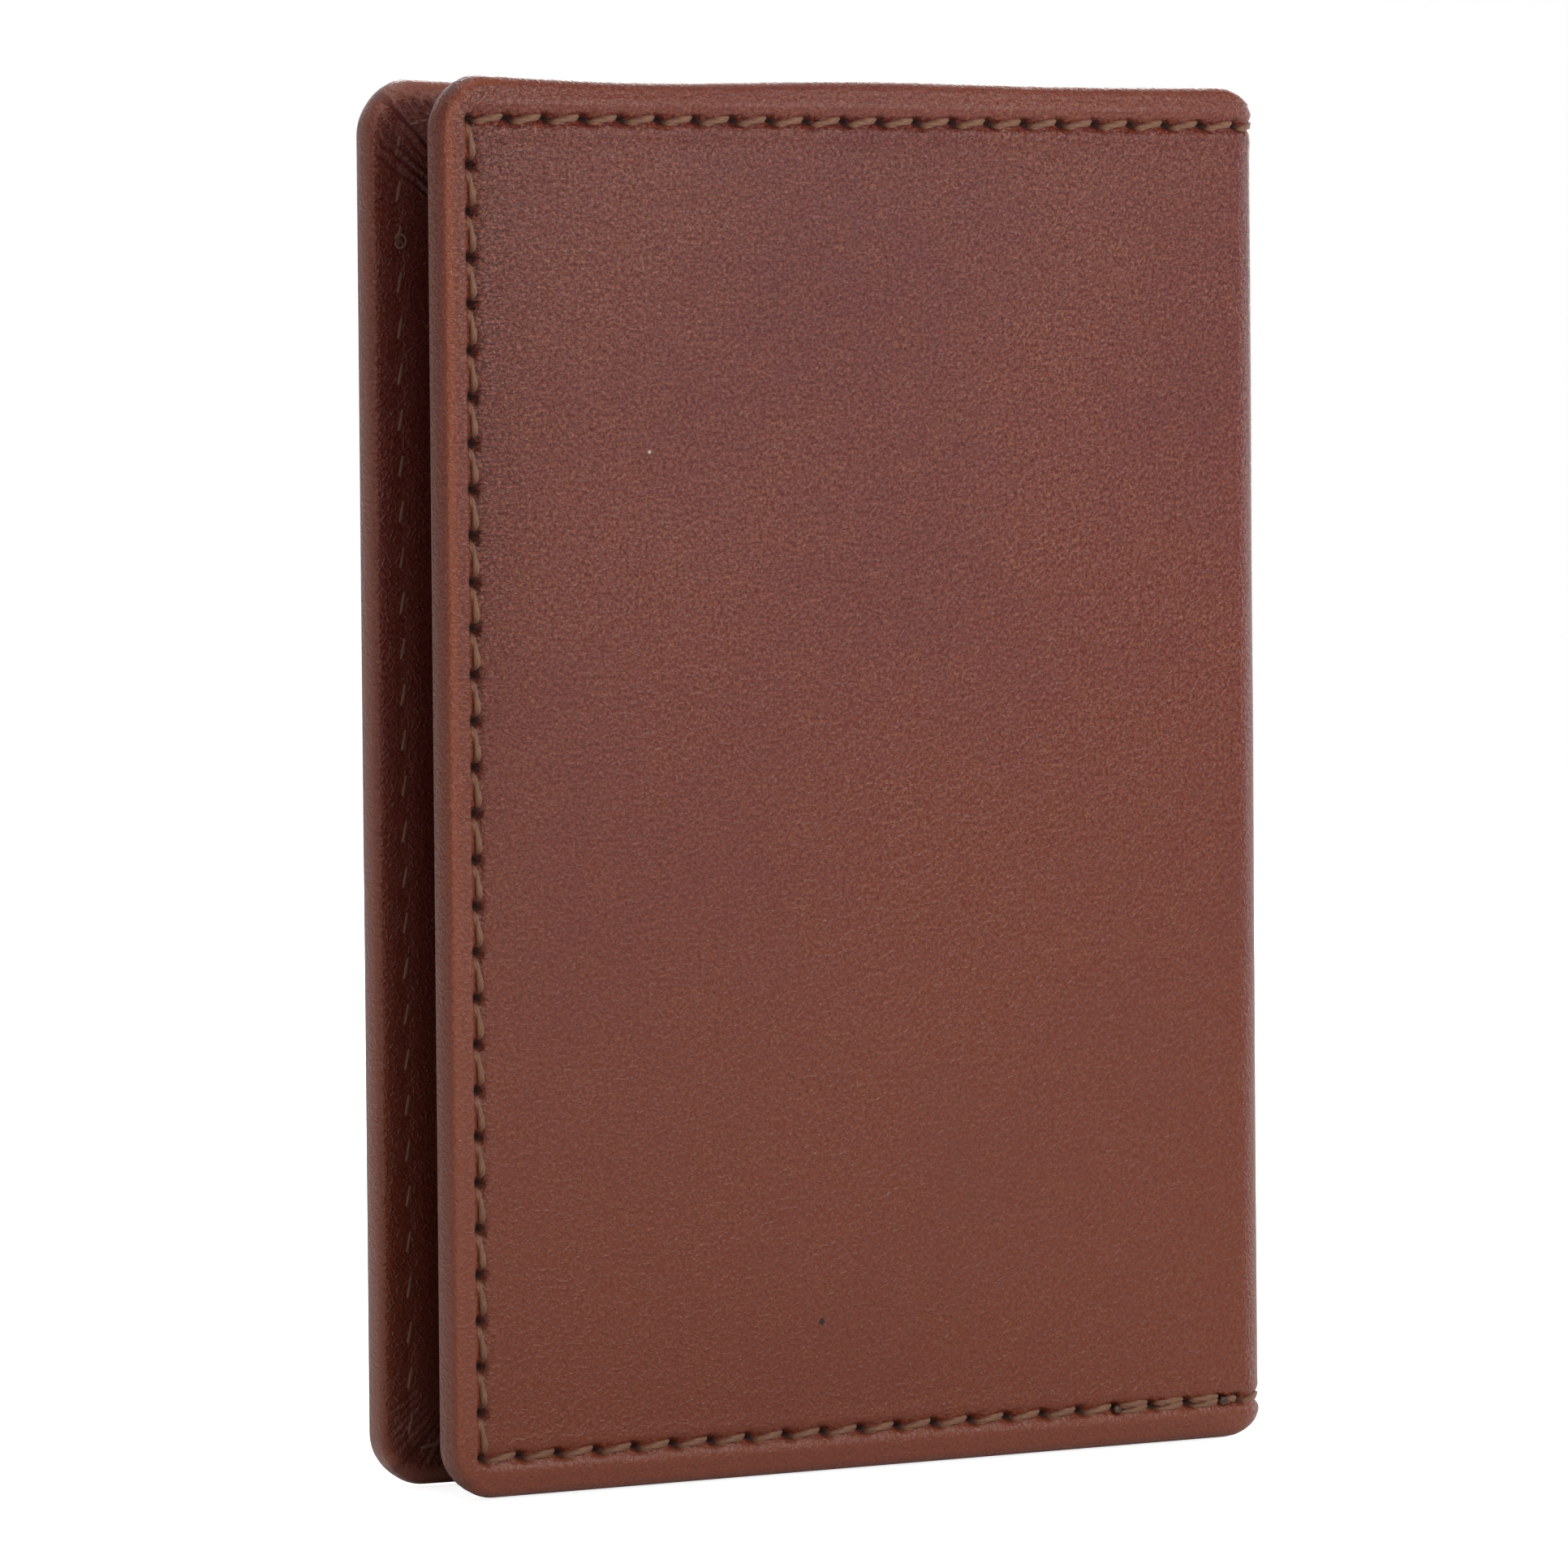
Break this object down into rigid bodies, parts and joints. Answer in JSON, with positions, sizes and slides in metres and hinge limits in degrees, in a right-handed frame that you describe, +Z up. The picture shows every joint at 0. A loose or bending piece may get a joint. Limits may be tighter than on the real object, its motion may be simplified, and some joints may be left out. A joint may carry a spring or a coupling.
{
  "type": "business card case",
  "caption": "Upright bifold card case in smooth brown leather with turned edges, a stitched perimeter seam, a folding spine and inner card pockets.",
  "frame": {"origin": "middle of the footprint, at the height of the case's lower edges, standing upright and slightly open", "axes": "+Z up along the fold, +X towards the fold, -Y towards the front cover"},
  "size_m": [0.075, 0.0138, 0.105],
  "materials": {
    "shell_leather": "smooth waxed full grain, satin",
    "hem_leather": "smooth full grain, pared thin, satin",
    "pocket_leather": "smooth full grain, satin",
    "board": "matt fibre board",
    "reinforcement": "matt non-woven strip",
    "lining": "fine twill",
    "seam_thread": "twisted bonded thread",
    "bobbin_thread": "twisted thread"
  },
  "bodies": {
    "rear_cover": {"rear_cover_leather": "shell_leather", "rear_top_hem": "hem_leather", "rear_bottom_hem": "hem_leather", "rear_side_hem": "hem_leather", "rear_cover_board": "board", "rear_cover_lining": "lining", "rear_card_pocket": "pocket_leather", "rear_seam_stitches": "seam_thread", "rear_bobbin_stitches": "bobbin_thread"},
    "spine": {"spine_leather": "shell_leather", "spine_top_hem": "hem_leather", "spine_bottom_hem": "hem_leather", "spine_reinforcement": "reinforcement", "spine_lining": "lining", "spine_seam_stitches": "seam_thread", "spine_bobbin_stitches": "bobbin_thread"},
    "front_cover": {"front_cover_leather": "shell_leather", "front_top_hem": "hem_leather", "front_bottom_hem": "hem_leather", "front_side_hem": "hem_leather", "front_cover_board": "board", "front_cover_lining": "lining", "front_inner_card_pocket": "pocket_leather", "front_outer_card_pocket": "pocket_leather", "front_seam_stitches": "seam_thread", "front_bobbin_stitches": "bobbin_thread", "seam_lock_stitches": "seam_thread"}
  },
  "joints": [
    {"name": "spine_fold", "type": "hinge", "parent": "rear_cover", "child": "spine", "pos_m": [0.0366, 0.00248, 0.0525], "axis": [0, 0, 1], "range_deg": [-2.72, 87.28]},
    {"name": "cover_fold", "type": "hinge", "parent": "spine", "child": "front_cover", "pos_m": [0.0366, -0.00248, 0.0525], "axis": [0, 0, 1], "range_deg": [-2.72, 87.28]}
  ],
  "couplings": [
    {"joint": "cover_fold", "follows": "spine_fold", "ratio": 1}
  ]
}
